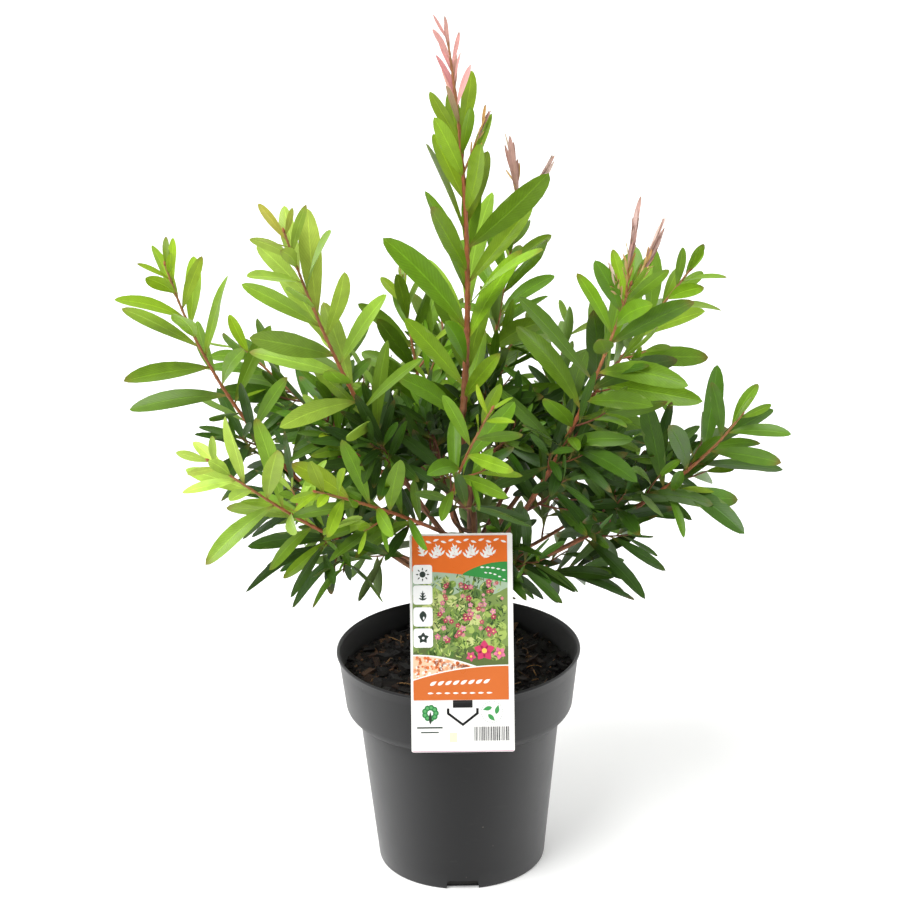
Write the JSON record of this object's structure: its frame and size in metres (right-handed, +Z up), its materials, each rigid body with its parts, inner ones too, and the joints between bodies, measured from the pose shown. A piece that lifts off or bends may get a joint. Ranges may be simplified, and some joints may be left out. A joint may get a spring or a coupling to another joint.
{
  "type": "potted bottlebrush shrub",
  "caption": "Young bottlebrush shrub with arching leafy branches in a round collared nursery pot, with a plant label leaning on the rim.",
  "frame": {"origin": "centre of the pot's flat underside", "axes": "+Z up along the pot's axis; -Y is the side that the plant label faces"},
  "size_m": [0.519, 0.3598, 0.7104],
  "materials": {
    "pot": "satin dark grey moulded polypropylene",
    "potting_mix": "damp composted bark",
    "label": "printed polypropylene card",
    "bark": "smooth red-brown young bark",
    "foliage": "leathery green leaves on thin stems"
  },
  "bodies": {
    "root": {"pot": "pot", "potting_mix": "potting_mix", "plant_label": "label", "trunk": "bark", "bough_back_left": "bark", "bough_back_right": "bark", "bough_far_left": "bark", "bough_front_left": "bark", "bough_front_mid": "bark", "bough_left_low": "bark", "bough_left_mid": "bark", "bough_left_outer": "bark", "bough_rear_left": "bark", "bough_rear_low": "bark", "bough_rear_low_left": "bark", "bough_rear_low_right": "bark", "bough_rear_mid": "bark", "bough_rear_right": "bark", "bough_right_back": "bark", "bough_right_main": "bark", "bough_right_outer": "bark", "mass_back_left": "foliage", "mass_back_right": "foliage", "mass_droop_left": "foliage", "mass_droop_right": "foliage", "mass_far_left": "foliage", "mass_front_left": "foliage", "mass_front_mid": "foliage", "mass_inner_centre": "foliage", "mass_inner_left": "foliage", "mass_inner_mid": "foliage", "mass_inner_right": "foliage", "mass_leader": "foliage", "mass_left_low": "foliage", "mass_left_mid": "foliage", "mass_left_outer": "foliage", "mass_low_centre": "foliage", "mass_rear_left": "foliage", "mass_rear_low": "foliage", "mass_rear_low_left": "foliage", "mass_rear_low_right": "foliage", "mass_rear_mid": "foliage", "mass_rear_right": "foliage", "mass_right_back": "foliage", "mass_right_low": "foliage", "mass_right_main": "foliage", "mass_right_outer": "foliage"}
  },
  "joints": []
}
